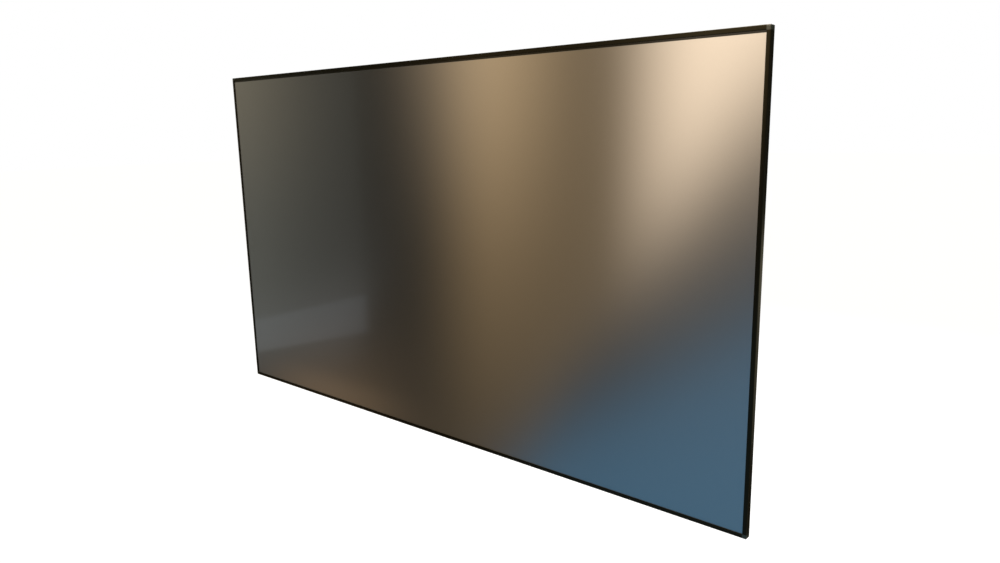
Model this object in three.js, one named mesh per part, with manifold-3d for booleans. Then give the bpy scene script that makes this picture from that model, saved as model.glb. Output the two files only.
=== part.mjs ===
// A fixed frame projector screen, 16:9, with a thin bezel, to hang flat on a wall.
//
// A dark optical sheet is pulled over the rounded nose of a mitred aluminium frame, round its
// outer side and onto its back, where rods in the sheet's hems are drawn inwards by springs
// hooked over a rib of the frame. L-shaped trims with a snap toe cover the wrapped edge, so the
// front shows only the picture and a thin bezel. Wall brackets hook into the frame's channel.
//
// Millimetres. +X to the right seen from the front, +Y into the wall, +Z up.
// The origin is the middle of the whole screen: its width, its height and its depth.
//
// Most pieces are drawn as a section in two coordinates: d, the distance inwards from the
// outer edge of the frame, and y, the depth behind the front face of the bezel.

import * as THREE from "three";
import { mergeVertices } from "three/addons/utils/BufferGeometryUtils.js";
import Module from "manifold-3d";

const wasm = await Module();
wasm.setup();

// Picture and depth
const IMAGE_W = 2214;
const IMAGE_H = 1245;
const WALL_DEPTH = 30;
const FIT = 0.3;

// Bezel trim
const LIP_W = 12;
const LIP_T = 2;
const LIP_BEVEL = 1;
const EDGE_R = 2.6;
const SKIRT_D = 18.5;
const SKIRT_T = 1.8;
const TOE_T = 1.4;
const TOE_W = 4.6;
const INSIDE_R = 1.5;
const BACK_EDGE = 0.5;
const CORNER_R = 3;
const TONGUE_T = 0.7;
const TONGUE_L = 22;
const TONGUE_W = 6;
const TONGUE_GAP = 0.2;

// Sheet, its hems and rods
const SHEET_T = 0.5;
const FLAP_CUT = 70;
const FLAP_LAP = 3;
const HEM_GAP = 2;
const ROD_R = 1.5;
const ROD_SHORT = 6;
const NOTCH_W = 10;

// Rail extrusion
const WALL = 1.5;
const NOSE_R = 4;
const NOSE_W = 8;
const NOSE_H = 1.9;
const HEEL_R = 3;
const RIB_T = 1.5;
const RIB_H = 5;
const FLANGE_T = 1.5;
const FLANGE_W = 2;
const CHANNEL_W = 7;
const BOX_W = 15;
const BOX_BACK = 24;
const RAIL_R = 0.8;
const MITRE_GAP = 0.15;

// Springs
const SPRING_REACH = 26;
const SPRING_R = 3;
const WIRE_R = 0.5;
const COIL_GAP = 1;
const COIL_L = 17;
const COIL_RIBS = 3;
const COIL_SIDES = 6;
const GRIP_FROM = 60;
const GRIP_TO = 310;
const GRIP_STEPS = 5;
const HOOK_STEPS = 5;
const SPRINGS_LONG = 10;
const SPRINGS_SHORT = 6;

// Corner elbows, corner plates and splices
const ARM_L = 95;
const PLATE_T = 3;
const PLATE_W = 24;
const PLATE_ARM = 120;
const SPLICE_L = 240;
const LEAD_IN = 3;

// Upright bar behind the middle of the sheet
const BAR_W = 40;
const BAR_D = 14;
const BAR_WALL = 1.5;
const SHOE_T = 1.5;
const SHOE_L = 35;
const SHOE_W = 34;

// Wall brackets
const BRACKET_L = 80;
const BRACKET_T = 2;
const BRACKET_BAY = 3;
const HOOK_GAP = 0.5;
const HOOK_R = 1.2;
const PLATE_REACH = 26;
const PLATE_CORNER_R = 4;
const SLOT_R = 2.7;
const SLOT_RUN = 8;
const SLOT_INSET = 8.7;
const SLOT_SPREAD = 50;
const TONGUE_PLAY = 0.5;
const BEND_R = 1.5;

// Facets along a quarter round and round a rod, how far a cutter stands past what it cuts, and
// how near two points are joined
const ROUND_STEPS = 4;
const ROD_SIDES = 8;
const CUT_PAST = 1;
const MERGE_WITHIN = 1e-4;

// Places in the section, worked out from the sizes above
const outerW = IMAGE_W + 2 * LIP_W;
const outerH = IMAGE_H + 2 * LIP_W;
const cornerL = LIP_W;
const sheetOut = SKIRT_T + FIT;
const sheetMidOut = sheetOut + SHEET_T / 2;
const railOut = sheetOut + SHEET_T + FIT;
const sheetFront = LIP_T + FIT;
const sheetMidFront = sheetFront + SHEET_T / 2;
const noseFront = sheetFront + SHEET_T + FIT;
const railFront = noseFront + NOSE_H;
const toeIn = SKIRT_T + TOE_W;
const wingBack = SKIRT_D - TOE_T - FIT - SHEET_T - FIT;
const sheetMidBack = wingBack + FIT + SHEET_T / 2;
const hemR = ROD_R + FIT + SHEET_T;
const rodD = toeIn + HEM_GAP + hemR;
const rodY = wingBack + FIT + hemR;
const ribOut = rodD + SPRING_REACH;
const ribIn = ribOut + RIB_T;
const ribBack = wingBack + RIB_H;
const flangeIn = ribIn + FLANGE_W;
const boxOut = ribIn + CHANNEL_W;
const railIn = boxOut + BOX_W;
const sheetEdge = railOut + NOSE_R;

// Materials
const trimFinish = new THREE.MeshStandardMaterial({ color: 0x17160f, roughness: 0.3, metalness: 0.7 });
const capFinish = new THREE.MeshStandardMaterial({ color: 0x1d1d15, roughness: 0.4, metalness: 0.2 });
const sheetFinish = new THREE.MeshStandardMaterial({ color: 0x77736b, roughness: 0.4, metalness: 0.6 });
const railFinish = new THREE.MeshStandardMaterial({ color: 0x1c1c1d, roughness: 0.5, metalness: 0.8 });
const castFinish = new THREE.MeshStandardMaterial({ color: 0x9a9b9c, roughness: 0.5, metalness: 0.9 });
const zincFinish = new THREE.MeshStandardMaterial({ color: 0xb4b6b6, roughness: 0.35, metalness: 0.9 });
const bracketFinish = new THREE.MeshStandardMaterial({ color: 0x1a1a1a, roughness: 0.6, metalness: 0.4 });

// A closed outline from corners [d, y, radius]: a corner with a radius becomes an arc.
function rounded(corners) {
  const points = [];
  const count = corners.length;
  corners.forEach(([px, py, radius], i) => {
    const here = new THREE.Vector2(px, py);
    if (!radius) {
      points.push(here);
      return;
    }
    const [ax, ay] = corners[(i + count - 1) % count];
    const [bx, by] = corners[(i + 1) % count];
    points.push(...arcAt(here, new THREE.Vector2(ax, ay), new THREE.Vector2(bx, by), radius));
  });
  return points;
}

// The points of the arc that rounds one corner between the lines to its two neighbours.
function arcAt(corner, before, after, radius) {
  const back = before.clone().sub(corner).normalize();
  const on = after.clone().sub(corner).normalize();
  const half = Math.acos(THREE.MathUtils.clamp(back.dot(on), -1, 1)) / 2;
  const centre = back.clone().add(on).normalize().multiplyScalar(radius / Math.sin(half)).add(corner);
  const start = back.clone().multiplyScalar(radius / Math.tan(half)).add(corner).sub(centre);
  const turn = Math.sign(back.cross(on)) * (Math.PI - 2 * half);
  const steps = Math.max(2, Math.round((ROUND_STEPS * Math.abs(turn)) / (Math.PI / 2)));
  const arc = [];
  for (let i = 0; i <= steps; i += 1) {
    arc.push(start.clone().rotateAround(new THREE.Vector2(), (-turn * i) / steps).add(centre));
  }
  return arc;
}

// A strip of even thickness along a bent centreline, as a bent plate or a folded sheet has.
function strip(corners, thickness) {
  const line = [];
  corners.forEach(([px, py, radius], i) => {
    const here = new THREE.Vector2(px, py);
    if (!radius) {
      line.push(here);
      return;
    }
    const before = new THREE.Vector2(...corners[i - 1].slice(0, 2));
    const after = new THREE.Vector2(...corners[i + 1].slice(0, 2));
    line.push(...arcAt(here, before, after, radius));
  });
  const side = (sign) => line.map((p, i) => {
    const along = [];
    if (i > 0) along.push(p.clone().sub(line[i - 1]).normalize());
    if (i < line.length - 1) along.push(line[i + 1].clone().sub(p).normalize());
    const normals = along.map((t) => new THREE.Vector2(-t.y, t.x));
    const mean = normals.reduce((sum, n) => sum.add(n), new THREE.Vector2()).normalize();
    return mean.multiplyScalar((sign * thickness) / 2 / mean.clone().dot(normals[0])).add(p);
  });
  return [...side(1), ...side(-1).reverse()];
}

function counterclockwise(points) {
  return THREE.ShapeUtils.isClockWise(points) ? [...points].reverse() : points;
}

// A section run along a side, from x = from to x = to, in the side's own frame: x along the
// side, y into the wall, z outwards with the outer edge at z = 0. A mitred end is cut at 45
// degrees, so that it is shortest at the section's inner edge.
function run(outline, from, to, { holes = [], mitreFrom = false, mitreTo = false } = {}) {
  const shape = new THREE.Shape(counterclockwise(outline));
  shape.holes = holes.map((points) => new THREE.Path(points));
  const geometry = new THREE.ExtrudeGeometry(shape, { depth: to - from, bevelEnabled: false });
  geometry.rotateY(Math.PI / 2);
  geometry.translate(from, 0, 0);
  const position = geometry.getAttribute("position");
  const middle = (from + to) / 2;
  for (let i = 0; i < position.count; i += 1) {
    const atEnd = position.getX(i) > middle;
    if (atEnd && mitreTo) position.setX(i, to + position.getZ(i));
    if (!atEnd && mitreFrom) position.setX(i, from - position.getZ(i));
  }
  return geometry;
}

// A plate drawn as an outline in x and z, from the depth y = near to y = far.
function slab(outline, near, far) {
  const geometry = new THREE.ExtrudeGeometry(new THREE.Shape(outline), {
    depth: far - near,
    bevelEnabled: false,
  });
  geometry.rotateX(Math.PI / 2);
  geometry.translate(0, far, 0);
  return geometry;
}

function block(x0, x1, y0, y1, z0, z1) {
  const geometry = new THREE.BoxGeometry(x1 - x0, y1 - y0, z1 - z0);
  geometry.translate((x0 + x1) / 2, (y0 + y1) / 2, (z0 + z1) / 2);
  return geometry;
}

// Joining and cutting
function solid(geometry) {
  const bare = geometry.clone();
  bare.deleteAttribute("normal");
  bare.deleteAttribute("uv");
  const merged = mergeVertices(bare, MERGE_WITHIN);
  return new wasm.Manifold(new wasm.Mesh({
    numProp: 3,
    vertProperties: merged.getAttribute("position").array,
    triVerts: new Uint32Array(merged.index.array),
  }));
}

function geometryOf(manifold) {
  const mesh = manifold.getMesh();
  const geometry = new THREE.BufferGeometry();
  geometry.setAttribute("position", new THREE.BufferAttribute(mesh.vertProperties, 3));
  geometry.setIndex(new THREE.BufferAttribute(mesh.triVerts, 1));
  const flat = geometry.toNonIndexed();
  flat.computeVertexNormals();
  return flat;
}

// A wire of few sides along a smooth curve through points [d, y] in the plane x = 0.
function wire(points, radius, steps) {
  const section = new THREE.Shape([90, 210, 330].map((degrees) => {
    const angle = THREE.MathUtils.degToRad(degrees);
    return new THREE.Vector2(radius * Math.cos(angle), radius * Math.sin(angle));
  }));
  const path = new THREE.CatmullRomCurve3(points.map(([d, y]) => new THREE.Vector3(0, y, -d)));
  return new THREE.ExtrudeGeometry(section, { steps, extrudePath: path, bevelEnabled: false });
}

function piece(name, geometry, material) {
  const mesh = new THREE.Mesh(geometry, material);
  mesh.name = name;
  return mesh;
}

// Sections
const trimOutline = rounded([
  [0, 0, EDGE_R],
  [LIP_W - LIP_BEVEL, 0],
  [LIP_W, LIP_BEVEL],
  [LIP_W, LIP_T],
  [SKIRT_T, LIP_T, INSIDE_R],
  [SKIRT_T, SKIRT_D - TOE_T],
  [toeIn, SKIRT_D - TOE_T],
  [toeIn, SKIRT_D],
  [BACK_EDGE, SKIRT_D],
  [0, SKIRT_D - BACK_EDGE],
]);

const railOutline = rounded([
  [railOut, noseFront, NOSE_R],
  [railOut + NOSE_W, noseFront],
  [railOut + NOSE_W + NOSE_H, railFront],
  [railIn, railFront, RAIL_R],
  [railIn, BOX_BACK, RAIL_R],
  [boxOut, BOX_BACK, RAIL_R],
  [boxOut, wingBack],
  [ribIn, wingBack],
  [ribIn, ribBack - FLANGE_T],
  [flangeIn, ribBack - FLANGE_T],
  [flangeIn, ribBack],
  [ribOut, ribBack],
  [ribOut, wingBack],
  [railOut, wingBack, HEEL_R],
]);

const wingChamber = {
  out: railOut + WALL,
  in: boxOut,
  front: railFront + WALL,
  back: wingBack - WALL,
};

const boxChamber = {
  out: boxOut + WALL,
  in: railIn - WALL,
  front: railFront + WALL,
  back: BOX_BACK - WALL,
};

const chamberOutline = ({ out, in: inner, front, back }) => rounded([
  [out, front],
  [inner, front],
  [inner, back],
  [out, back],
]);

// The four sides, each a group turned about Y, and the springs' places along them
const SIDES = {
  top: { turn: 0, x: 0, z: outerH / 2, length: outerW, springs: SPRINGS_LONG },
  right: { turn: Math.PI / 2, x: outerW / 2, z: 0, length: outerH, springs: SPRINGS_SHORT },
  bottom: { turn: Math.PI, x: 0, z: -outerH / 2, length: outerW, springs: SPRINGS_LONG },
  left: { turn: -Math.PI / 2, x: -outerW / 2, z: 0, length: outerH, springs: SPRINGS_SHORT },
};

const springPitch = ({ length, springs }) => (length - 2 * FLAP_CUT) / springs;

function springPlaces(side) {
  const pitch = springPitch(side);
  return Array.from({ length: side.springs }, (_, i) => (i - (side.springs - 1) / 2) * pitch);
}

// Bezel trims: one straight length on each side between two corner caps
function trim(side) {
  const half = side.length / 2 - cornerL;
  return run(trimOutline, -half + MITRE_GAP, half - MITRE_GAP);
}

// A corner cap carries the trim's section round the corner, with a tongue behind each skirt.
// Its own frame has the outer corner at x = 0, z = 0, with the frame at negative x and z.
function swapXZ(geometry) {
  const turned = geometry.clone();
  const position = turned.getAttribute("position");
  for (let i = 0; i < position.count; i += 1) {
    position.setXYZ(i, position.getZ(i), position.getY(i), position.getX(i));
  }
  return reversed(turned);
}

function reversed(geometry) {
  const loose = geometry.index ? geometry.toNonIndexed() : geometry;
  const position = loose.getAttribute("position");
  const p = new THREE.Vector3();
  const q = new THREE.Vector3();
  for (let i = 0; i < position.count; i += 3) {
    p.fromBufferAttribute(position, i + 1);
    q.fromBufferAttribute(position, i + 2);
    position.setXYZ(i + 1, q.x, q.y, q.z);
    position.setXYZ(i + 2, p.x, p.y, p.z);
  }
  return loose;
}

function cornerCap() {
  const arm = run(trimOutline, -cornerL, 0, { mitreTo: true });
  const plan = rounded([
    [0, 0, CORNER_R],
    [-cornerL, 0],
    [-cornerL, -cornerL],
    [0, -cornerL],
  ]);
  const tongueOut = -SKIRT_T - TONGUE_GAP;
  const tongueIn = tongueOut - TONGUE_T;
  const tongueY = (noseFront + wingBack - TONGUE_W) / 2;
  const root = -cornerL + TONGUE_W / 2;
  const tongue = block(
    -cornerL - TONGUE_L, root, tongueY, tongueY + TONGUE_W, tongueIn, tongueOut,
  );
  const foot = block(
    -cornerL, root, tongueY, tongueY + TONGUE_W, tongueIn, -SKIRT_T / 2,
  );
  let cap = solid(arm).add(solid(swapXZ(arm)));
  cap = cap.intersect(solid(slab(plan, -CUT_PAST, SKIRT_D + CUT_PAST)));
  [tongue, foot].forEach((part) => {
    cap = cap.add(solid(part)).add(solid(swapXZ(part)));
  });
  return geometryOf(cap);
}

// Rails: mitred at the corners, with two chambers right through. The top and bottom rails
// are halves that meet at the middle, so from and to are -1, 0 or 1.
function rail(side, from, to) {
  const half = side.length / 2 - MITRE_GAP;
  const ends = { mitreFrom: from < 0, mitreTo: to > 0 };
  let made = solid(run(railOutline, from * half, to * half, ends));
  [wingChamber, boxChamber].forEach((chamber) => {
    made = made.subtract(solid(run(chamberOutline(chamber), (from - 1) * half, (to + 1) * half)));
  });
  return geometryOf(made);
}

// Corner elbow in the box chamber and corner plate in the wing chamber, in the corner's frame
function ell(outer, inner, arm, lead) {
  return [
    [outer, outer],
    [outer, arm - lead],
    [outer + lead, arm],
    [inner - lead, arm],
    [inner, arm - lead],
    [inner, inner],
    [arm - lead, inner],
    [arm, inner - lead],
    [arm, outer + lead],
    [arm - lead, outer],
  ].map(([x, z]) => new THREE.Vector2(-x, -z));
}

function cornerElbow() {
  const outer = boxChamber.out + FIT;
  const inner = boxChamber.in - FIT;
  return slab(ell(outer, inner, inner + ARM_L, LEAD_IN), boxChamber.front + FIT, boxChamber.back - FIT);
}

function cornerPlate() {
  const outer = wingChamber.out + (wingChamber.in - wingChamber.out - PLATE_W) / 2;
  const near = wingChamber.back - FIT - PLATE_T;
  return slab(ell(outer, outer + PLATE_W, outer + PLATE_W + PLATE_ARM, LEAD_IN), near, near + PLATE_T);
}

// Splices across the middle of the top and bottom rails
function splice(out, inner, near, far) {
  const half = SPLICE_L / 2;
  const outline = [
    [-half, out + LEAD_IN],
    [-half + LEAD_IN, out],
    [half - LEAD_IN, out],
    [half, out + LEAD_IN],
    [half, inner - LEAD_IN],
    [half - LEAD_IN, inner],
    [-half + LEAD_IN, inner],
    [-half, inner - LEAD_IN],
  ].map(([x, d]) => new THREE.Vector2(x, -d));
  return slab(outline, near, far);
}

function spliceBar() {
  const { out, in: inner, front, back } = boxChamber;
  return splice(out + FIT, inner - FIT, front + FIT, back - FIT);
}

function splicePlate() {
  const out = wingChamber.out + (wingChamber.in - wingChamber.out - PLATE_W) / 2;
  const far = wingChamber.back - FIT;
  return splice(out, out + PLATE_W, far - PLATE_T, far);
}

// A circle round the middle of the rod, as a polygon.
function rodCircle(radius) {
  return Array.from({ length: ROD_SIDES }, (_, i) => {
    const angle = (2 * Math.PI * (i + 0.5)) / ROD_SIDES;
    return new THREE.Vector2(rodD + radius * Math.cos(angle), rodY + radius * Math.sin(angle));
  });
}

// The sheet: the flat picture, and on each side a flap that wraps the rail and ends in a hem.
// The corners have no flap, and the hem is notched where a spring grips the rod.
function flap(side) {
  const half = side.length / 2 - FLAP_CUT;
  const bendFront = NOSE_R + FIT + SHEET_T / 2;
  const bendBack = HEEL_R + FIT + SHEET_T / 2;
  const wrap = strip([
    [sheetEdge + FLAP_LAP, sheetMidFront],
    [sheetMidOut, sheetMidFront, bendFront],
    [sheetMidOut, sheetMidBack, bendBack],
    [rodD, sheetMidBack],
  ], SHEET_T);
  let made = solid(run(wrap, -half, half));
  const hem = run(rodCircle(hemR), -half, half, { holes: [rodCircle(hemR - SHEET_T)] });
  made = made.add(solid(hem));
  springPlaces(side).forEach((x) => {
    const notch = block(
      x - NOTCH_W / 2, x + NOTCH_W / 2, wingBack, rodY + 2 * hemR,
      -rodD - 2 * hemR, -rodD + hemR + FIT,
    );
    made = made.subtract(solid(notch));
  });
  return geometryOf(made);
}

function sheet() {
  const halfW = outerW / 2 - sheetEdge;
  const halfH = outerH / 2 - sheetEdge;
  let made = solid(block(-halfW, halfW, sheetFront, sheetFront + SHEET_T, -halfH, halfH));
  Object.values(SIDES).forEach((side) => {
    const geometry = flap(side);
    geometry.rotateY(side.turn);
    geometry.translate(side.x, 0, side.z);
    made = made.add(solid(geometry));
  });
  return geometryOf(made);
}

// A tension rod with the springs that grip it. Each spring loops round the rod, and its far
// end hooks over the rail's rib and under the rib's flange.
function rodWithSprings(side) {
  const half = side.length / 2 - FLAP_CUT - ROD_SHORT;
  let made = solid(run(rodCircle(ROD_R), -half, half));
  const coilY = wingBack + FIT + SPRING_R;
  const coilFrom = rodD + hemR + COIL_GAP;
  const coilTo = coilFrom + COIL_L;
  const bite = ROD_R + WIRE_R / 2;
  const loop = Array.from({ length: GRIP_STEPS + 1 }, (_, i) => {
    const angle = THREE.MathUtils.degToRad(THREE.MathUtils.lerp(GRIP_FROM, GRIP_TO, i / GRIP_STEPS));
    return [rodD + bite * Math.cos(angle), rodY + bite * Math.sin(angle)];
  });
  const over = ribBack + FIT + WIRE_R;
  const past = flangeIn + FIT + WIRE_R;
  const grip = wire([[coilFrom + WIRE_R, coilY], ...loop], WIRE_R, GRIP_STEPS + 1);
  const hook = wire([
    [coilTo - WIRE_R, coilY],
    [ribOut - WIRE_R, over],
    [flangeIn, over],
    [past, ribBack - FLANGE_T / 2],
    [past - WIRE_R, ribBack - FLANGE_T - 2 * WIRE_R],
  ], WIRE_R, HOOK_STEPS);
  const pitch = COIL_L / COIL_RIBS;
  const profile = [new THREE.Vector2(0, 0)];
  for (let i = 0; i < COIL_RIBS; i += 1) {
    profile.push(new THREE.Vector2(SPRING_R - WIRE_R, i * pitch));
    profile.push(new THREE.Vector2(SPRING_R, (i + 0.5) * pitch));
  }
  profile.push(new THREE.Vector2(SPRING_R - WIRE_R, COIL_L));
  profile.push(new THREE.Vector2(0, COIL_L));
  const coil = new THREE.LatheGeometry(profile, COIL_SIDES);
  coil.rotateX(-Math.PI / 2);
  coil.translate(0, coilY, -coilFrom);
  const spring = solid(coil).add(solid(grip)).add(solid(hook));
  springPlaces(side).forEach((x) => {
    made = made.add(spring.translate([x, 0, 0]));
  });
  return geometryOf(made);
}

// The upright bar, a rectangular tube, and the bent shoes that hold its ends
const barNear = railFront + (BOX_BACK - railFront - BAR_D) / 2;
const barHalf = outerH / 2 - railIn - SHOE_T - FIT;

function uprightBar() {
  const shape = new THREE.Shape(rounded([
    [-BAR_W / 2, barNear, RAIL_R],
    [BAR_W / 2, barNear, RAIL_R],
    [BAR_W / 2, barNear + BAR_D, RAIL_R],
    [-BAR_W / 2, barNear + BAR_D, RAIL_R],
  ]));
  const bore = BAR_W / 2 - BAR_WALL;
  shape.holes.push(new THREE.Path(rounded([
    [-bore, barNear + BAR_WALL],
    [bore, barNear + BAR_WALL],
    [bore, barNear + BAR_D - BAR_WALL],
    [-bore, barNear + BAR_D - BAR_WALL],
  ])));
  const geometry = new THREE.ExtrudeGeometry(shape, { depth: 2 * barHalf, bevelEnabled: false });
  geometry.translate(0, 0, -barHalf);
  return geometry;
}

function barShoe() {
  const back = barNear + BAR_D + FIT + SHOE_T / 2;
  const seat = railIn + SHOE_T / 2;
  const bent = strip([
    [seat, barNear],
    [seat, back, BEND_R],
    [seat + SHOE_L, back],
  ], SHOE_T);
  return run(bent, -SHOE_W / 2, SHOE_W / 2);
}

// Wall brackets, bent from plate: the upper ones hook up behind the rail's flange, the lower
// ones have a straight tongue in the channel. The plate's free end has rounded corners and two
// slots, so that the screen can be moved sideways before its screws are tightened.
function slot(x, level) {
  const path = new THREE.Path();
  path.absarc(x + SLOT_RUN / 2, -level, SLOT_R, -Math.PI / 2, Math.PI / 2);
  path.absarc(x - SLOT_RUN / 2, -level, SLOT_R, Math.PI / 2, 1.5 * Math.PI);
  return path.getPoints(2 * ROUND_STEPS);
}

function bracket(bent) {
  const half = BRACKET_L / 2;
  const end = bent[bent.length - 1][0];
  const plan = rounded([
    [-half, -end, PLATE_CORNER_R],
    [-half, -railIn],
    [half, -railIn],
    [half, -end, PLATE_CORNER_R],
  ]);
  let made = solid(run(strip(bent, BRACKET_T), -half, half));
  made = made.intersect(solid(slab(plan, 0, WALL_DEPTH + CUT_PAST)));
  [-SLOT_SPREAD / 2, SLOT_SPREAD / 2].forEach((x) => {
    const cutter = slab(slot(x, end + SLOT_INSET), BOX_BACK, WALL_DEPTH + CUT_PAST);
    made = made.subtract(solid(cutter));
  });
  return geometryOf(made);
}

const plateMid = WALL_DEPTH - BRACKET_T / 2;
const hookFront = ribBack - FLANGE_T - HOOK_GAP - BRACKET_T / 2;

function upperBracket() {
  const shelf = flangeIn + BRACKET_T / 2;
  return bracket([
    [ribIn + FIT, hookFront],
    [shelf, hookFront, HOOK_R],
    [shelf, plateMid, BEND_R],
    [shelf - PLATE_REACH, plateMid],
  ]);
}

function lowerBracket() {
  const shelf = flangeIn + TONGUE_PLAY + BRACKET_T / 2;
  return bracket([
    [shelf, hookFront],
    [shelf, plateMid, BEND_R],
    [shelf - PLATE_REACH, plateMid],
  ]);
}

// Assembly
const screen = new THREE.Group();
screen.position.y = -WALL_DEPTH / 2;

screen.add(piece("screen_sheet", sheet(), sheetFinish));
screen.add(piece("upright_bar", uprightBar(), railFinish));

const sideGroups = {};
Object.entries(SIDES).forEach(([name, side]) => {
  const group = new THREE.Group();
  group.rotation.y = side.turn;
  group.position.set(side.x, 0, side.z);
  group.add(piece(`trim_${name}`, trim(side), trimFinish));
  group.add(piece(`tension_rod_${name}`, rodWithSprings(side), zincFinish));
  screen.add(group);
  sideGroups[name] = group;
});

["left", "right"].forEach((name) => {
  sideGroups[name].add(piece(`rail_${name}`, rail(SIDES[name], -1, 1), railFinish));
});

// The bottom group is turned half round, so its own left is the screen's right
[["top", "left", "right"], ["bottom", "right", "left"]].forEach(([name, first, second]) => {
  const side = SIDES[name];
  const bracketX = BRACKET_BAY * springPitch(side);
  const makeBracket = name === "top" ? upperBracket : lowerBracket;
  sideGroups[name].add(
    piece(`rail_${name}_${first}`, rail(side, -1, 0), railFinish),
    piece(`rail_${name}_${second}`, rail(side, 0, 1), railFinish),
    piece(`splice_bar_${name}`, spliceBar(), castFinish),
    piece(`splice_plate_${name}`, splicePlate(), zincFinish),
    piece(`bar_shoe_${name}`, barShoe(), zincFinish),
  );
  [[first, -1], [second, 1]].forEach(([hand, sign]) => {
    const mesh = piece(`wall_bracket_${name}_${hand}`, makeBracket(), bracketFinish);
    mesh.position.x = sign * bracketX;
    sideGroups[name].add(mesh);
  });
});

const CORNERS = {
  top_right: { turn: 0, x: 1, z: 1 },
  bottom_right: { turn: Math.PI / 2, x: 1, z: -1 },
  bottom_left: { turn: Math.PI, x: -1, z: -1 },
  top_left: { turn: -Math.PI / 2, x: -1, z: 1 },
};

Object.entries(CORNERS).forEach(([name, corner]) => {
  const group = new THREE.Group();
  group.rotation.y = corner.turn;
  group.position.set((corner.x * outerW) / 2, 0, (corner.z * outerH) / 2);
  group.add(
    piece(`trim_corner_${name}`, cornerCap(), capFinish),
    piece(`corner_elbow_${name}`, cornerElbow(), castFinish),
    piece(`corner_plate_${name}`, cornerPlate(), zincFinish),
  );
  screen.add(group);
});

export default screen;
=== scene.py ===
# The looks of a fixed frame projector screen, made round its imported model.
#
# Metres, in the model's frame: X to the right seen from the front, Y into the wall, Z up.
# Most pieces are drawn as the frame is, by a section in two coordinates: d, the distance
# inwards from the outer edge, and y, the depth behind the front face of the bezel.

import math

import bmesh
import bpy
import numpy as np
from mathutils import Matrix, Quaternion, Vector

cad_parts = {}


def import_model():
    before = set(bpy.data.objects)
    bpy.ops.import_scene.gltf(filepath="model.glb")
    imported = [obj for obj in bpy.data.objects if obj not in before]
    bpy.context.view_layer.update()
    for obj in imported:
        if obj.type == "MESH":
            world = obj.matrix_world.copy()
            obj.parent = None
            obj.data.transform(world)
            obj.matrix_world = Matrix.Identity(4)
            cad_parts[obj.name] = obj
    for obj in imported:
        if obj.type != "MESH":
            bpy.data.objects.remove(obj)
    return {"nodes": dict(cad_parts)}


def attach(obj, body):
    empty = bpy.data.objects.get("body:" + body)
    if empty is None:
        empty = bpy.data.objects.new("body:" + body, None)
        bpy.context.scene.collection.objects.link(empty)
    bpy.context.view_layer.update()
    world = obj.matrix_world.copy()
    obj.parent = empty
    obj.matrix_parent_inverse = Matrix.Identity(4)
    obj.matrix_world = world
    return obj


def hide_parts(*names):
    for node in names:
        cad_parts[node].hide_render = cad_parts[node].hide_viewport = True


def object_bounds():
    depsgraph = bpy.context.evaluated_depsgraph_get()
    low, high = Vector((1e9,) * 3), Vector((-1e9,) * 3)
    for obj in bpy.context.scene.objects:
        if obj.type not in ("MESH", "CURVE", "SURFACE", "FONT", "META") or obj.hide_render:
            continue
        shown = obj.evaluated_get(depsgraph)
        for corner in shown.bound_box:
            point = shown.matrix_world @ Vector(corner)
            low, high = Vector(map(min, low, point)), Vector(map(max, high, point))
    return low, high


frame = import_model()
cad_low, cad_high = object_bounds()

MM = 0.001
QUARTER = math.pi / 2

# Angles in degrees past which an edge stays sharp, and distances within which points are merged
SHARP_ANGLE = 35
SHARP_ON_THIN = 60
WELD = 1e-6
FINE_WELD = 1e-7

# The whole screen
OUTER_W = cad_high.x - cad_low.x
OUTER_H = cad_high.z - cad_low.z
FRONT_Y = cad_low.y
FIT = 0.3 * MM

# Bezel trim and corner caps
LIP_W = 12 * MM
LIP_T = 2 * MM
LIP_BEVEL = 1 * MM
EDGE_R = 2.6 * MM
SKIRT_D = 18.5 * MM
SKIRT_T = 1.8 * MM
TOE_T = 1.4 * MM
TOE_IN = 6.4 * MM
INSIDE_R = 1.5 * MM
BACK_EDGE = 0.5 * MM
BEVEL_R = 0.3 * MM
BREAK_R = 0.2 * MM
CORNER_R = 3 * MM
MITRE_GAP = 0.15 * MM
TONGUE = {"thick": 0.7 * MM, "long": 22 * MM, "wide": 6 * MM, "gap": 0.2 * MM, "depth": 6.55 * MM}

# Sheet, rods and springs
SHEET_T = 0.5 * MM
FLAP_CUT = 70 * MM
NOSE_BEND = 4.55 * MM
HEEL_BEND = 3.55 * MM
ROD_R = 1.5 * MM
ROD_SHORT = 6 * MM
ROD_AT = (10.7 * MM, 18.6 * MM)
NOTCH_W = 10 * MM
WIRE_R = 0.5 * MM
COIL_R = 2.5 * MM
COIL_FROM = 14 * MM
COIL_TO = 31 * MM
COIL_Y = 19.3 * MM
COIL_TURNS = 12

# Places of the rail's section that springs and screws seat on
WING_BACK = 16 * MM
RIB_BACK = 21 * MM
FLANGE_IN = 40.2 * MM
BOX_BACK = 24 * MM
PLATE_MID = 24.8 * MM
BOX_MID = 52.7 * MM
RAIL_IN = 60.2 * MM

# Each side: its quarter turns about Y from the top, the reach from the middle to its outer edge,
# its length and how many springs it has
SIDES = {
    "top": {"turn": 0, "reach": OUTER_H / 2, "length": OUTER_W, "springs": 10},
    "right": {"turn": 1, "reach": OUTER_W / 2, "length": OUTER_H, "springs": 6},
    "bottom": {"turn": 2, "reach": OUTER_H / 2, "length": OUTER_W, "springs": 10},
    "left": {"turn": 3, "reach": OUTER_W / 2, "length": OUTER_H, "springs": 6},
}


# Placing and meshing

def quarter_turned(turn, across, y, out):
    """Points of a side's own frame, x along it and z outwards, turned about Y by quarter turns:
    X = x cos a + z sin a, Z = z cos a - x sin a, where a is the turn."""
    c = round(math.cos(turn * QUARTER))
    s = round(math.sin(turn * QUARTER))
    across, y, out = np.broadcast_arrays(across, y, out)
    return np.stack([across * c + out * s, y, out * c - across * s], -1)


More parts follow.
